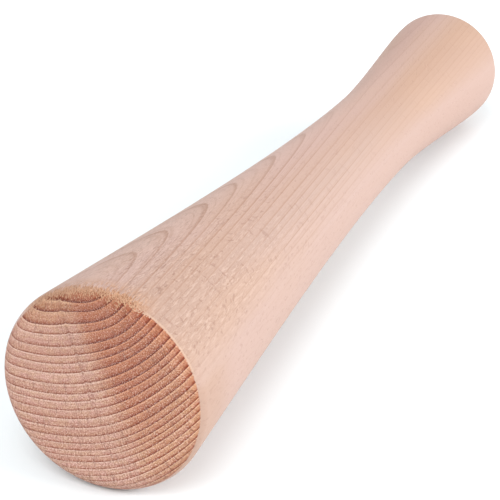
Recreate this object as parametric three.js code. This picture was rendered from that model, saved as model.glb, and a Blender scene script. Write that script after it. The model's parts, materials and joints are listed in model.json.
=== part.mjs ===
// A one-piece bar muddler, turned from a single blank of beech: a wide, flat working face with a
// rounded rim, a long taper to a slim waist, and a small rounded knob to hold.
// Millimetres, +Z up. The muddler lies on a table at Z = 0, touching it with the widest ring of
// the head and the widest ring of the knob. The working face looks towards -Y and the knob
// points towards +Y. The origin is at the middle of the bounding box's bottom.

import * as THREE from 'three';

// Driving dimensions. Distances "along" are measured on the turning axis, from the working face.
const HEAD_RADIUS = 25;
const RIM_RADIUS = 4.5;              // rounding between the working face and the side
const HEAD_TAPER = 0.09;             // how fast the side draws in just behind the rim, mm per mm
const WAIST_ALONG = 178;
const WAIST_RADIUS = 13.35;
const KNOB_ALONG = 242.8;            // the knob's widest ring
const KNOB_RADIUS = 17.8;
const KNOB_TAPER = 0.02;             // how fast the knob draws in as it reaches its edge, mm per mm
const KNOB_EDGE_RADIUS = 3;          // rounding between the knob's side and its crown
const CROWN_ANGLE = THREE.MathUtils.degToRad(32);  // slope of the crown where it meets that rounding

// Pull lengths of the two flowing curves: how long each end keeps its own direction.
const HEAD_PULL = 55;
const WAIST_PULL_TO_HEAD = 50;
const WAIST_PULL_TO_KNOB = 20;
const KNOB_PULL = 10;

// Steps along each stretch of the outline, and facets around the axis. The facet count is a
// multiple of four, so that one facet can lie flat on the table.
const RIM_STEPS = 7;
const TAPER_STEPS = 22;
const FLARE_STEPS = 13;
const KNOB_EDGE_STEPS = 4;
const CROWN_STEPS = 5;
const FACETS = 64;
const HALF_FACET = Math.PI / FACETS;

const beech = new THREE.MeshStandardMaterial({ color: 0xdcb8a4, roughness: 0.75, metalness: 0 });

function arc(centreRadius, centreAlong, radius, startAngle, endAngle, steps) {
  const curve = new THREE.EllipseCurve(
    centreRadius, centreAlong, radius, radius, startAngle, endAngle);
  return curve.getPoints(steps);
}

// A smooth curve that leaves one point in one direction and reaches another in a second one.
function flow(from, fromDirection, fromPull, to, toDirection, toPull, steps) {
  const curve = new THREE.CubicBezierCurve(
    from,
    from.clone().addScaledVector(fromDirection, fromPull),
    to.clone().addScaledVector(toDirection, -toPull),
    to);
  return curve.getPoints(steps);
}

// The turned outline as (radius, distance along the axis), from the face's centre to the crown's.
function turnedOutline() {
  const taperAngle = Math.atan(HEAD_TAPER);
  const rim = arc(
    HEAD_RADIUS - RIM_RADIUS, RIM_RADIUS, RIM_RADIUS, -Math.PI / 2, taperAngle, RIM_STEPS);

  const headDirection = new THREE.Vector2(-Math.sin(taperAngle), Math.cos(taperAngle));
  const alongAxis = new THREE.Vector2(0, 1);
  const waist = new THREE.Vector2(WAIST_RADIUS, WAIST_ALONG);
  const taper = flow(
    rim.at(-1), headDirection, HEAD_PULL, waist, alongAxis, WAIST_PULL_TO_HEAD, TAPER_STEPS);

  const knobAngle = Math.atan(KNOB_TAPER);
  const knobDirection = new THREE.Vector2(-Math.sin(knobAngle), Math.cos(knobAngle));
  const knob = new THREE.Vector2(KNOB_RADIUS, KNOB_ALONG);
  const flare = flow(
    waist, alongAxis, WAIST_PULL_TO_KNOB, knob, knobDirection, KNOB_PULL, FLARE_STEPS);

  const edgeCentre = new THREE.Vector2(
    KNOB_RADIUS - KNOB_EDGE_RADIUS * Math.cos(knobAngle),
    KNOB_ALONG - KNOB_EDGE_RADIUS * Math.sin(knobAngle));
  const crownStart = Math.PI / 2 - CROWN_ANGLE;
  const edge = arc(
    edgeCentre.x, edgeCentre.y, KNOB_EDGE_RADIUS, knobAngle, crownStart, KNOB_EDGE_STEPS);

  const crownRadius = edge.at(-1).x / Math.sin(CROWN_ANGLE);
  const crownCentreAlong = edge.at(-1).y - crownRadius * Math.cos(CROWN_ANGLE);
  const crown = arc(0, crownCentreAlong, crownRadius, crownStart, Math.PI / 2, CROWN_STEPS);
  crown.at(-1).x = 0;

  return [
    new THREE.Vector2(0, 0),
    ...rim,
    ...taper.slice(1),
    ...flare.slice(1),
    ...edge.slice(1),
    ...crown.slice(1),
  ];
}

// The tilt at which the head and the knob both touch the table: the head is wider, so the axis
// slopes down towards the knob. A facet's middle is a little nearer the axis than its edges are.
function restingTilt(outline) {
  const flat = Math.cos(HALF_FACET);
  const headSide = outline.filter((point) => point.y < WAIST_ALONG);
  const knobSide = outline.filter((point) => point.y > WAIST_ALONG);
  let tilt = 0;
  const reach = (point) => point.x * flat * Math.cos(tilt) + point.y * Math.sin(tilt);
  const lowest = (points) => points.reduce((a, b) => (reach(b) > reach(a) ? b : a));
  for (let pass = 0; pass < 4; pass += 1) {
    const head = lowest(headSide);
    const knob = lowest(knobSide);
    tilt = Math.atan((head.x - knob.x) * flat / (knob.y - head.y));
  }
  return tilt;
}

const outline = turnedOutline();
const body = new THREE.Mesh(new THREE.LatheGeometry(outline, FACETS, HALF_FACET), beech);
body.name = 'turned_body';
body.rotation.x = -restingTilt(outline);

const muddler = new THREE.Group();
muddler.add(body);

const box = new THREE.Box3().setFromObject(muddler, true);
const middle = box.getCenter(new THREE.Vector3());
muddler.position.set(-middle.x, -middle.y, -box.min.z);

export default muddler;
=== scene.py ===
"""A turned beech muddler, lying on a white studio table. Metres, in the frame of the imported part:
it lies along Y with its working face towards -Y, and the table is at Z = 0."""

import json
import math
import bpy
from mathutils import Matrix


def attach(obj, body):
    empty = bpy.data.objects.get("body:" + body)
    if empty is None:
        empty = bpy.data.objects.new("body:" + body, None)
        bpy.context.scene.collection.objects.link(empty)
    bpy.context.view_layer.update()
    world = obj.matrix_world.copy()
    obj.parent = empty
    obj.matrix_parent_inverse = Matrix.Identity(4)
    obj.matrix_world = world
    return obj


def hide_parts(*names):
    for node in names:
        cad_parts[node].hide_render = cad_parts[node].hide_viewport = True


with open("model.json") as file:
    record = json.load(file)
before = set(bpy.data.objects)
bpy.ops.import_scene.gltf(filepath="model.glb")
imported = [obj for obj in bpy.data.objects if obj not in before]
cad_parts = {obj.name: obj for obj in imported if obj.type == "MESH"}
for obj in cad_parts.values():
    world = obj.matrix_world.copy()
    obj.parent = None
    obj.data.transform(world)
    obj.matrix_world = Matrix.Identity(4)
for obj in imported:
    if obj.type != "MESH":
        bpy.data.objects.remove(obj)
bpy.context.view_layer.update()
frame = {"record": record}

from types import SimpleNamespace

import bpy
import numpy as np
from mathutils import Vector

MM = 0.001
SEED = 199030                      # for how far each ring's border strays

# The turned outline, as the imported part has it. "Along" is measured on the turning axis, from the
# working face.
HEAD_RADIUS = 25 * MM
RIM_RADIUS = 4.5 * MM
HEAD_TAPER = 0.09
WAIST_ALONG = 178 * MM
WAIST_RADIUS = 13.35 * MM
KNOB_ALONG = 242.8 * MM
KNOB_RADIUS = 17.8 * MM
KNOB_TAPER = 0.02
KNOB_EDGE_RADIUS = 3 * MM
CROWN_ANGLE = math.radians(32)
HEAD_PULL = 55 * MM
WAIST_PULL_TO_HEAD = 50 * MM
WAIST_PULL_TO_KNOB = 20 * MM
KNOB_PULL = 10 * MM

# How fine the visible mesh is.
SEGMENTS = 480                     # around the axis, where the wood is widest
FINEST_SEGMENTS = 15               # around the axis, at the middle of each end
FACE_STEP = 0.25 * MM
SIDE_STEP = 2.5 * MM
ARC_STEP = 0.3 * MM
CROWN_STEP = 0.5 * MM

# The tree that the blank was cut from. Its pith runs beside the blank and leans away from it.
# Angles about the pith are counted from the direction of the turning axis.
PITH_DISTANCE = 45.6 * MM          # from the turning axis, at the working face
PITH_BEARING = math.radians(-21)   # from straight up, towards +X, seen from the working face
PITH_LEAN_ACROSS = -0.06           # how far it shifts towards +X and up for each unit of length
PITH_LEAN_UP = 0.01
INNERMOST_RING = 16.7 * MM         # distance from the pith
WIDEST_RING = 2.87 * MM
NARROWING = 0.061 * MM             # how much less the tree grew each year
RING_JITTER = 0.22                 # how far a ring's border strays, as a share of its width
RING_TOTAL = 36
SLOW_SIDE_SQUEEZE = 0.17           # how much narrower the rings are on the slow-grown side
SLOW_SIDE_CENTRE = 42 * MM         # the ring that the squeeze leaves in place
SLOW_SIDE_START = math.radians(-5)
SLOW_SIDE_END = math.radians(25)
NICK_ANGLE = math.radians(-1.7)    # a broad ray that nicks the rings it crosses
NICK_DEPTH = 0.30 * MM
NICK_WIDTH = 0.35 * MM
NICK_END = 58 * MM

RIDGE_HEIGHT = 0.04 * MM           # how far the hard late wood stands up on the end grain

# Where the torn fibres fringe the rim: degrees round the axis, from straight up towards +X.
FRAYED_CENTRE = -11
FRAYED_FULL = 26.4                 # either side of the centre: as far as the fringe is thickest
FRAYED_HALF = 44                   # either side of the centre: as far as there is any
FRAYED_END = 9 * MM                # along the side


# ---- Turned shape ----------------------------------------------------------------------------

def arc_points(centre, radius, start, end, step):
    count = max(2, round(abs(end - start) * radius / step))
    angles = np.linspace(start, end, count + 1)
    return np.stack([centre[0] + radius * np.cos(angles), centre[1] + radius * np.sin(angles)], 1)


def flow_points(start, start_direction, start_pull, end, end_direction, end_pull, step):
    """A cubic curve that leaves start in one direction and reaches end in another."""
    start, end = np.array(start), np.array(end)
    first = start + np.array(start_direction) * start_pull
    second = end - np.array(end_direction) * end_pull
    t = np.linspace(0, 1, round((end[1] - start[1]) / step) + 1)[:, None]
    return (start * (1 - t) ** 3 + 3 * first * t * (1 - t) ** 2
            + 3 * second * t ** 2 * (1 - t) + end * t ** 3)


def turned_outline():
    """Points (radius, along) from the middle of the working face to the middle of the crown."""
    flat_radius = HEAD_RADIUS - RIM_RADIUS
    face_radii = np.linspace(0, flat_radius, round(flat_radius / FACE_STEP) + 1)
    face = np.stack([face_radii, np.zeros_like(face_radii)], 1)

    taper_angle = math.atan(HEAD_TAPER)
    rim = arc_points((flat_radius, RIM_RADIUS), RIM_RADIUS, -math.pi / 2, taper_angle, ARC_STEP)

    waist = (WAIST_RADIUS, WAIST_ALONG)
    taper = flow_points(
        rim[-1], (-math.sin(taper_angle), math.cos(taper_angle)), HEAD_PULL,
        waist, (0, 1), WAIST_PULL_TO_HEAD, SIDE_STEP)

    knob_angle = math.atan(KNOB_TAPER)
    flare = flow_points(
        waist, (0, 1), WAIST_PULL_TO_KNOB, (KNOB_RADIUS, KNOB_ALONG),
        (-math.sin(knob_angle), math.cos(knob_angle)), KNOB_PULL, SIDE_STEP)

    edge_centre = (KNOB_RADIUS - KNOB_EDGE_RADIUS * math.cos(knob_angle),
                   KNOB_ALONG - KNOB_EDGE_RADIUS * math.sin(knob_angle))
    crown_start = math.pi / 2 - CROWN_ANGLE
    edge = arc_points(edge_centre, KNOB_EDGE_RADIUS, knob_angle, crown_start, ARC_STEP)

    crown_radius = edge[-1, 0] / math.sin(CROWN_ANGLE)
    crown_centre = (0, edge[-1, 1] - crown_radius * math.cos(CROWN_ANGLE))
    crown = arc_points(crown_centre, crown_radius, crown_start, math.pi / 2, CROWN_STEP)
    crown[-1, 0] = 0
    return np.concatenate([face, rim[1:], taper[1:], flare[1:], edge[1:], crown[1:]])


def outward_normals(outline):
    """The unit normal (radial, along) at each point of the outline."""
    radial, along = np.gradient(outline, axis=0).T
    return np.stack([along, -radial], 1) / np.hypot(radial, along)[:, None]


def segments_at(radius):
    """Fewer segments near the middle of each end, so that no triangle is a sliver."""
    if radius == 0:
        return 1
    count = SEGMENTS
    while count > FINEST_SEGMENTS and radius < HEAD_RADIUS * 0.4 * count / SEGMENTS:
        count //= 2
    return count


def turned_mesh(outline):
    """Each vertex's outline point and angle round the axis, and the faces of the closed solid.

    The faces point outwards in axes that run across, up and along, which are left-handed."""
    rings, points, angles, faces = [], [], [], []
    for point, (radius, _) in enumerate(outline):
        count = segments_at(radius)
        rings.append(range(len(points), len(points) + count))
        points += [point] * count
        angles += [2 * math.pi * i / count for i in range(count)]
    for near, far in zip(rings[:-1], rings[1:]):
        faces += strip(far, near)
    return np.array(points), np.array(angles), faces


def strip(near, far):
    """The faces between two rings of vertices, of which one may have twice the other's count."""
    if len(near) > len(far):
        return [face[::-1] for face in strip(far, near)]
    count = len(near)
    if count == 1:
        return [(near[0], far[i], far[(i + 1) % len(far)]) for i in range(len(far))]
    if count == len(far):
        return [(near[i], far[i], far[(i + 1) % count], near[(i + 1) % count])
                for i in range(count)]
    faces = []
    for i in range(count):
        after = (i + 1) % count
        start, middle, end = far[2 * i], far[2 * i + 1], far[(2 * i + 2) % len(far)]
        faces += [(near[i], start, middle), (near[i], middle, near[after]),
                  (near[after], middle, end)]
    return faces


# ---- Wood ------------------------------------------------------------------------------------

def smooth_step(low, high, value):
    t = np.clip((value - low) / (high - low), 0, 1)
    return t * t * (3 - 2 * t)


def ring_borders():
    """Distances from the pith at which one year's ring ends and the next begins."""
    year = np.arange(RING_TOTAL)
    borders = INNERMOST_RING + WIDEST_RING * year - NARROWING * year ** 2 / 2
    stray = np.random.default_rng(SEED).uniform(-1, 1, RING_TOTAL)
    return borders + RING_JITTER * stray * np.gradient(borders)


def from_pith(across, up, along):
    """The way from the pith to a point of the blank, as distance and as angle about the pith."""
    pith_across = PITH_DISTANCE * math.sin(PITH_BEARING) + PITH_LEAN_ACROSS * along
    pith_up = PITH_DISTANCE * math.cos(PITH_BEARING) + PITH_LEAN_UP * along
    angle = np.arctan2(up - pith_up, across - pith_across) + PITH_BEARING + math.pi / 2
    return np.hypot(across - pith_across, up - pith_up), angle


def nicked(distance, angle):
    """1 in the middle of the broad ray that nicks the rings, and 0 away from it."""
    off_centre = (angle - NICK_ANGLE) * distance / NICK_WIDTH
    return np.exp(-off_centre ** 2) * smooth_step(NICK_END, NICK_END * 0.8, distance)


def ring_count(distance, angle):
    """How many rings lie inside a point: a whole number at each ring's border."""
    slow = smooth_step(SLOW_SIDE_START, SLOW_SIDE_END, angle)
    grown = SLOW_SIDE_CENTRE + (distance - SLOW_SIDE_CENTRE) / (1 - SLOW_SIDE_SQUEEZE * slow)
    grown += NICK_DEPTH * nicked(distance, angle)
    borders = ring_borders()
    return np.interp(grown, borders, np.arange(len(borders)))


def ridge(rings):
    """Height, from 0 to 1, of the worn end grain: it climbs to each ring's hard late wood."""
    share = rings % 1
    return smooth_step(0.2, 0.9, share) * smooth_step(1.0, 0.94, share)


def within(angles, start, full_from, full_to, end):
    """1 from full_from to full_to, and 0 before start and after end. All four in degrees."""
    degrees = np.degrees(angles)
    return smooth_step(start, full_from, degrees) * smooth_step(end, full_to, degrees)


def around(angles, centre, full, half):
    """1 within full of the centre, and 0 beyond half. All three in degrees."""
    nearness = np.cos(angles - math.radians(centre))
    return smooth_step(math.cos(math.radians(half)), math.cos(math.radians(full)), nearness)


def end_grain_zones(distance, pith_angle):
    """The warmer wood beside the pith and on the slow-grown side, and a brown streak in it."""
    slow_side = math.radians(10)
    warmth = np.maximum(smooth_step(math.radians(-1), slow_side, pith_angle),
                        smooth_step(31 * MM, 24 * MM, distance))
    streak_bend = 29 * MM * np.maximum(0, pith_angle - math.radians(12))
    stain = (smooth_step(math.radians(1), slow_side, pith_angle)
             * smooth_step(66 * MM, 42 * MM, distance + streak_bend))
    return {"warmth": warmth, "stain": stain}


def side_zones(angles, along):
    """Where the side is tan or darkened by painted shade below, where painted light makes it paler
    above towards -X, and where its figure is crisp and its grain torn.
    """
    upper = around(angles, 15, 30, 65)
    crisp = 1 - 0.7 * smooth_step(70 * MM, 170 * MM, along)
    blurred = within(angles, 15, 30, 90, 120) * smooth_step(90 * MM, 50 * MM, along)
    upper_tan = within(angles, 0, 25, 55, 90) * (
        0.35 + 0.2 * smooth_step(80 * MM, 20 * MM, along)
        + 0.35 * smooth_step(120 * MM, 200 * MM, along))
    # Painted shade: the lower side, towards +X and the table, is darkened with the tan, more so
    # near the head.
    painted_lower_shade = within(angles, 68, 80, 120, 160) * (
        0.2 + 0.4 * smooth_step(25 * MM, 8 * MM, along))
    return {
        "tan": np.maximum(upper_tan, painted_lower_shade),
        # painted light: the upper side towards -X is made paler
        "pale_side": around(angles, -34, 12, 40) * smooth_step(230 * MM, 160 * MM, along),
        "crisp": crisp,
        "figured": crisp * (0.06 + 0.42 * upper) * (1 - 0.45 * blurred),
        "torn_grain": upper * smooth_step(120 * MM, 25 * MM, along),
    }


def rim_zones(angles, along, normal_out):
    """Where torn fibres fringe the rim, and where its edge is crisp, with a painted highlight."""
    off_face = smooth_step(0.0, 0.25, normal_out)
    near_rim = smooth_step(FRAYED_END, 4 * MM, along)
    return {
        "frayed": around(angles, FRAYED_CENTRE, FRAYED_FULL, FRAYED_HALF) * off_face * near_rim,
        # painted highlight: a pale line along the crisp edge of the rim
        "pale_edge": within(angles, 18, 30, 60, 75),
    }


# ---- Materials -------------------------------------------------------------------------------

class Graph:
    """Short names for the shader nodes that the materials are made of."""

    def __init__(self, name):
        self.material = bpy.data.materials.new(name)
        self.material.use_nodes = True
        self.tree = self.material.node_tree
        self.shader = self.tree.nodes["Principled BSDF"]

    def node(self, kind, inputs=(), **settings):
        made = self.tree.nodes.new("ShaderNode" + kind)
        for name, value in settings.items():
            setattr(made, name, value)
        for name, value in dict(inputs).items():
            self.feed(made.inputs[name], value)
        return made

    def feed(self, socket, value):
        if isinstance(value, bpy.types.NodeSocket):
            self.tree.links.new(value, socket)
        else:
            socket.default_value = value

    def attribute(self, name, output="Fac"):
        return self.node("Attribute", attribute_name=name).outputs[output]

    def math(self, operation, *values):
        made = self.node("Math", operation=operation)
        for socket, value in zip(made.inputs, values):
            self.feed(socket, value)
        return made.outputs[0]

    def times(self, *values):
        product = values[0]
        for value in values[1:]:
            product = self.math("MULTIPLY", product, value)
        return product

    def step(self, value, low, high):
        """0 where value is below low, 1 where it is above high, and smooth between."""
        inputs = {"Value": value, "From Min": low, "From Max": high}
        return self.node("MapRange", inputs, interpolation_type="SMOOTHSTEP").outputs["Result"]

    def noise(self, place, scale, detail=2.0, roughness=0.5):
        """Smooth noise from 0 to 1 whose cells are one over scale across, per axis of place."""
        stretched = self.node("VectorMath", {0: place, 1: scale}, operation="MULTIPLY")
        inputs = {"Vector": stretched.outputs[0], "Scale": 1.0, "Detail": detail,
                  "Roughness": roughness}
        return self.node("TexNoise", inputs).outputs["Fac"]

    def mix(self, share, first, second, blend="MIX"):
        made = self.node("Mix", data_type="RGBA", blend_type=blend)
        self.feed(made.inputs[0], share)
        self.feed(made.inputs[6], first)
        self.feed(made.inputs[7], second)
        return made.outputs[2]


def colour(red, green, blue):
    """An sRGB colour, given from 0 to 255, as the linear colour that shaders take."""
    def linear(value):
        value /= 255
        return value / 12.92 if value <= 0.04045 else ((value + 0.055) / 1.055) ** 2.4
    return (linear(red), linear(green), linear(blue), 1.0)


def per_mm(round_pith, from_pith, along):
    """A noise scale from how many cells there are in a millimetre, each way in the wood."""
    return (round_pith / MM, from_pith / MM, along / MM)


def grain_patterns(g, wood):
    """Adds to wood its years, and the noise that follows its grain."""
    grain = g.attribute("grain", "Vector")
    rings = g.attribute("ring_count")
    wood.year = g.math("FRACT", rings)
    which_ring = g.node("TexWhiteNoise", {"W": g.math("FLOOR", rings)}, noise_dimensions="1D")
    wood.hard_year = which_ring.outputs["Value"]
    # Faint bands within a year's ring, which follow it.
    wood.spells = g.node("TexNoise", {"W": rings, "Scale": 5.0, "Detail": 2.0, "Roughness": 0.7},
                         noise_dimensions="1D").outputs["Fac"]

    # Rays are thin sheets that run out from the pith: ticks on the end grain, flecks on the side.
    wood.rays = g.step(g.noise(grain, per_mm(2.6, 0.22, 0.50), detail=1.0), 0.62, 0.70)
    wood.fine_rays = g.noise(grain, per_mm(5.0, 0.5, 0.80), detail=2.0, roughness=0.7)
    # Pores run along the grain: dots on the end grain, hair lines on the side.
    wood.pores = g.noise(grain, per_mm(3.4, 2.6, 0.25), detail=2.0, roughness=0.9)
    wood.fibres = g.noise(grain, per_mm(1.8, 1.8, 0.30), detail=3.0, roughness=0.65)
    wood.strands = g.noise(grain, per_mm(1.8, 1.8, 0.28), detail=3.0, roughness=0.6)
    wood.fringe = g.noise(grain, per_mm(2.6, 2.6, 0.45), detail=2.0)
    wood.blush = g.noise(grain, per_mm(0.35, 0.7, 0.05), detail=2.0, roughness=0.6)
    wood.cloud = g.noise(grain, per_mm(0.05, 0.05, 0.012), detail=2.0)

    wood.stray = g.math("SUBTRACT", wood.strands, 0.5)
    wood.ragged = g.times(wood.torn_grain,
                          g.math("MULTIPLY_ADD", g.step(wood.blush, 0.4, 0.6), 0.6, 0.5))
    wood.line = g.times(g.step(wood.year, 0.79, 0.95), g.step(wood.year, 1.0, 0.985))


def end_grain_colour(g, wood):
    """Pale early wood, browner late wood, and a thin dark line at the ring's border."""
    blushing = g.step(wood.blush, 0.35, 0.65)
    patchy = g.times(g.math("MULTIPLY_ADD", blushing, 0.5, 0.5),
                     g.math("MULTIPLY_ADD", wood.warmth, 0.80, 0.70))
    late = g.step(wood.year, 0.50, 0.96)
    early = g.times(g.step(wood.year, 0.30, 0.04),
                    g.math("MULTIPLY_ADD", wood.warmth, 0.4, 0.6))
    end = g.mix(blushing, colour(188, 147, 124), colour(187, 142, 129))
    end = g.mix(g.times(g.step(wood.hard_year, 0.45, 0.95), 0.38), end, colour(166, 114, 90))
    end = g.mix(g.times(late, patchy), end, colour(138, 60, 26))
    end = g.mix(early, end, colour(217, 184, 168))
    end = g.mix(g.times(g.step(wood.spells, 0.52, 0.66), 0.42), end, colour(150, 94, 70))
    inked = g.math("MULTIPLY_ADD", wood.hard_year, 0.3,
                   g.math("MULTIPLY_ADD", wood.warmth, 0.5, 0.45))
    end = g.mix(g.times(wood.line, inked), end, colour(104, 38, 12))
    end = g.mix(wood.warmth, end, colour(252, 236, 210), blend="MULTIPLY")
    end = g.mix(wood.stain, end, colour(230, 194, 180), blend="MULTIPLY")

    end = g.mix(g.times(wood.rays, 0.46), end, colour(112, 66, 52))
    end = g.mix(g.times(g.step(wood.fine_rays, 0.50, 0.64), 0.42), end, colour(122, 78, 62))
    end = g.mix(g.times(g.step(wood.fine_rays, 0.48, 0.34), 0.16), end, colour(228, 194, 178))
    end = g.mix(g.times(g.step(wood.pores, 0.50, 0.66), 0.54), end, colour(112, 66, 48))
    glints = g.times(g.step(wood.pores, 0.50, 0.34), g.step(wood.end_grain, 0.6, 1.0))
    end = g.mix(g.times(glints, 0.54), end, colour(236, 204, 190))
    return g.mix(g.times(wood.nick, g.step(wood.fibres, 0.46, 0.56), 0.5), end,
                 colour(112, 66, 52))


def side_colour(g, wood):
    """The same rings, cut along the grain, so their late wood shows as soft tan figure."""
    side = g.mix(wood.flat_sawn, colour(178, 156, 149), colour(191, 159, 148))
    # The tan on the upper side is the wood's own; on the lower side, facing the table, it is
    # painted shade.
    side = g.mix(wood.tan, side, colour(172, 138, 116))
    side = g.mix(g.times(g.step(wood.cloud, 0.45, 0.70), 0.35), side, colour(184, 152, 130))
    # Painted light: the upper side towards -X is made paler.
    side = g.mix(g.times(wood.pale_side, 0.5), side, colour(204, 176, 166))
    figure = g.times(g.step(wood.year, 0.80, 0.96), g.step(wood.year, 1.0, 0.975),
                     g.math("MULTIPLY_ADD", wood.hard_year, 0.5, 0.5))
    side = g.mix(g.times(figure, wood.figured), side, colour(136, 92, 66))
    side = g.mix(g.times(g.step(wood.year, 0.3, 0.9), wood.figured, 0.35), side,
                 colour(160, 122, 98))
    side = g.mix(g.times(g.step(wood.spells, 0.50, 0.66), wood.figured, 0.4), side,
                 colour(150, 112, 90))

    flecked = g.math("MULTIPLY_ADD", wood.torn_grain, 0.25, g.times(wood.crisp, 0.12))
    side = g.mix(g.times(wood.rays, flecked), side, colour(130, 92, 78))
    side = g.mix(g.times(g.step(wood.fibres, 0.5, 0.75), wood.crisp, 0.25), side,
                 colour(150, 116, 100))
    hairs = g.step(g.math("ABSOLUTE", wood.stray), 0.035, 0.0)
    side = g.mix(g.times(wood.ragged, hairs, 0.28), side, colour(122, 82, 64))
    return g.mix(g.times(wood.ragged, g.step(wood.strands, 0.50, 0.30), 0.22), side,
                 colour(226, 200, 186))


def rim_colour(g, wood, side, end):
    """The side and the end grain, as they meet on the rounded rim.

    At the top the border is fuzzy, with torn, ochre fibres. Right of them, seen from the working
    face, it is crisp, with a painted highlight along its edge. Elsewhere it is plain."""
    roughly = g.math("MULTIPLY_ADD", wood.frayed, 1.5, 0.08)
    fringe = g.math("SUBTRACT", wood.fringe, 0.5)
    uneven = g.math("MULTIPLY_ADD", fringe, roughly, wood.end_grain)
    uneven = g.math("MULTIPLY_ADD", wood.frayed, -0.14, uneven)
    fuzz = g.times(g.step(uneven, -0.14, 0.16), wood.frayed)
    side = g.mix(g.times(fuzz, 0.78), side, colour(194, 148, 114))
    side = g.mix(g.times(fuzz, g.step(wood.pores, 0.48, 0.58), 0.62), side, colour(118, 70, 38))
    # Painted highlight: a pale line along the crisp edge of the rim.
    edge = g.times(g.step(uneven, 0.40, 0.46), wood.pale_edge)
    side = g.mix(g.times(edge, 0.55), side, colour(202, 170, 148))
    return g.mix(g.step(uneven, 0.50, 0.56), side, end)


def surface_height(g, wood):
    """Torn fibres roughen it. Rays, pores and, on the end grain, ring borders are cut into it."""
    raised = g.times(g.math("ADD", wood.ragged, wood.frayed), wood.stray, 7.0)
    raised = g.math("ADD", raised, g.times(wood.fibres, 0.6))
    grooves = g.times(g.step(wood.end_grain, 0.6, 1.0),
                      g.math("ADD", g.times(wood.line, 0.5), wood.fine_rays))
    cut_in = g.math("ADD", g.math("ADD", wood.rays, wood.pores), grooves)
    return g.math("SUBTRACT", raised, cut_in)


def beech(zones):
    """Bare beech, from what the mesh stores: its ring_count, its grain and the named zones."""
    g = Graph("beech")
    wood = SimpleNamespace(**{name: g.attribute(name) for name in zones})
    grain_patterns(g, wood)
    surface = rim_colour(g, wood, side_colour(g, wood), end_grain_colour(g, wood))
    g.feed(g.shader.inputs["Base Color"], surface)
    bump = g.node("Bump", {"Height": surface_height(g, wood), "Strength": 0.8,
                           "Distance": 0.05 * MM})
    g.feed(g.shader.inputs["Normal"], bump.outputs[0])
    g.shader.inputs["Roughness"].default_value = 0.55
    g.shader.inputs["Specular IOR Level"].default_value = 0.2
    return g.material


def plain(name, tint, roughness):
    g = Graph(name)
    g.shader.inputs["Base Color"].default_value = tint
    g.shader.inputs["Roughness"].default_value = roughness
    return g.material


# ---- Pieces ----------------------------------------------------------------------------------

def turned_body():
    """The whole muddler: one piece of wood."""
    outline = turned_outline()
    points, angles, faces = turned_mesh(outline)
    radius, along = outline[points].T
    normal_out, normal_along = outward_normals(outline)[points].T
    sine, cosine = np.sin(angles), np.cos(angles)

    distance, pith_angle = from_pith(radius * sine, radius * cosine, along)
    rings = ring_count(distance, pith_angle)
    outwards = math.pi + PITH_BEARING - angles
    end_grain = np.abs(normal_along)
    zones = {
        "end_grain": end_grain,
        "flat_sawn": np.abs(normal_out * np.cos(pith_angle - outwards)),
        "nick": nicked(distance, pith_angle),
        **end_grain_zones(distance, pith_angle),
        **side_zones(angles, along),
        **rim_zones(angles, along, normal_out),
    }

    worn = RIDGE_HEIGHT * ridge(rings) * smooth_step(0.5, 1.0, end_grain)
    radius = radius + worn * normal_out
    mesh = bpy.data.meshes.new("turned_beech_body")
    mesh.from_pydata(place(radius * sine, radius * cosine, along + worn * normal_along), [], faces)
    mesh.shade_smooth()
    store(mesh, "ring_count", rings)
    store(mesh, "grain", np.stack([pith_angle * PITH_DISTANCE, distance, along], 1))
    for name, values in zones.items():
        store(mesh, name, values)
    mesh.materials.append(beech(zones))

    body = bpy.data.objects.new("turned_beech_body", mesh)
    bpy.context.scene.collection.objects.link(body)
    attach(body, "root")
    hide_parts("turned_body")


def place(across, up, along):
    """Points given in the blank's own axes, moved to where the working face's mount puts them."""
    mount = next(m for m in frame["record"]["mounts"] if m["name"] == "working_face")
    axis = -np.array(mount["axis"])
    axis /= np.linalg.norm(axis)
    right = np.array([1.0, 0.0, 0.0])
    directions = np.stack([right, np.cross(right, axis), axis])
    return (np.array(mount["pos_m"]) + np.stack([across, up, along], 1) @ directions).tolist()


def store(mesh, name, values):
    """Keeps a number, or a vector, for each vertex, for the material to read."""
    kind, field = ("FLOAT_VECTOR", "vector") if values.ndim == 2 else ("FLOAT", "value")
    attribute = mesh.attributes.new(name, kind, "POINT")
    attribute.data.foreach_set(field, values.astype(np.float32).ravel())


# ---- Studio ----------------------------------------------------------------------------------

TABLE_SIZE = 12.0
TABLE_COLOUR = (0.87, 0.93, 0.955, 1.0)
SKY_STRENGTH = 0.765
CAMERA_AZIMUTH = math.radians(23.23)
CAMERA_ELEVATION = math.radians(25.96)
CAMERA_DISTANCE = 0.5555
CAMERA_TARGET = Vector((-0.0148, -0.0041, 0.0042))
CAMERA_LENS = 144.0
LIGHT_DISTANCE = 2.0               # from the frame's origin


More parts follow.
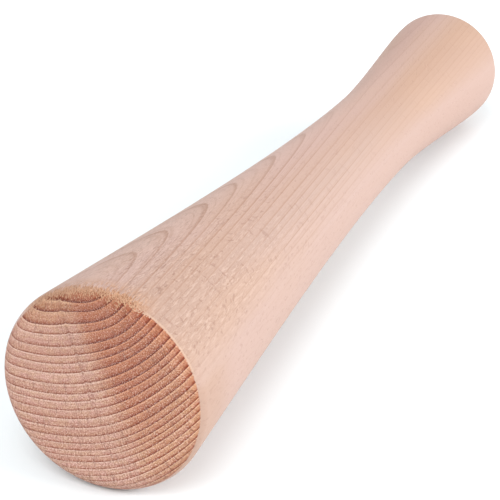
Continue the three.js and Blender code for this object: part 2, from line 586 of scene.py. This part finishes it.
def studio_table():
    half = TABLE_SIZE / 2
    mesh = bpy.data.meshes.new("table_top")
    mesh.from_pydata([(-half, -half, 0), (half, -half, 0), (half, half, 0), (-half, half, 0)],
                     [], [(0, 1, 2, 3)])
    mesh.materials.append(plain("white_table", TABLE_COLOUR, 0.9))
    table = bpy.data.objects.new("table_top", mesh)
    bpy.context.scene.collection.objects.link(table)


def direction(azimuth, elevation):
    """The way to a place, with azimuth counted from +X towards +Y. Both in degrees."""
    azimuth, elevation = math.radians(azimuth), math.radians(elevation)
    level = math.cos(elevation)
    return Vector((math.cos(azimuth) * level, math.sin(azimuth) * level, math.sin(elevation)))


def softbox(name, azimuth, elevation, size, power):
    """A round soft light, aimed at the object."""
    light = bpy.data.lights.new(name, "AREA")
    light.shape = "DISK"
    light.size = size
    light.energy = power
    lamp = bpy.data.objects.new(name, light)
    towards = direction(azimuth, elevation)
    lamp.location = towards * LIGHT_DISTANCE
    lamp.rotation_euler = towards.to_track_quat("Z", "Y").to_euler()
    lamp.visible_camera = False
    bpy.context.scene.collection.objects.link(lamp)


def camera():
    lens = bpy.data.cameras.new("camera")
    lens.lens = CAMERA_LENS
    lens.sensor_width = 36.0
    lens.clip_start = 0.01
    lens.clip_end = 100.0
    eye = bpy.data.objects.new("camera", lens)
    level = math.cos(CAMERA_ELEVATION)
    back = Vector((math.sin(CAMERA_AZIMUTH) * level, -math.cos(CAMERA_AZIMUTH) * level,
                   math.sin(CAMERA_ELEVATION)))
    eye.location = CAMERA_TARGET + back * CAMERA_DISTANCE
    eye.rotation_euler = back.to_track_quat("Z", "Y").to_euler()
    bpy.context.scene.collection.objects.link(eye)
    bpy.context.scene.camera = eye


def sky():
    world = bpy.data.worlds.new("white_studio")
    world.use_nodes = True
    background = world.node_tree.nodes["Background"]
    background.inputs["Color"].default_value = (1.0, 1.0, 1.0, 1.0)
    background.inputs["Strength"].default_value = SKY_STRENGTH
    bpy.context.scene.world = world


camera()
sky()
studio_table()
turned_body()
softbox("front_light", azimuth=-90, elevation=50, size=1.4, power=22.6)
softbox("right_light", azimuth=5, elevation=28, size=1.0, power=19.7)
softbox("back_right_light", azimuth=45, elevation=15, size=0.9, power=15.0)
bpy.context.scene.view_settings.view_transform = "Standard"
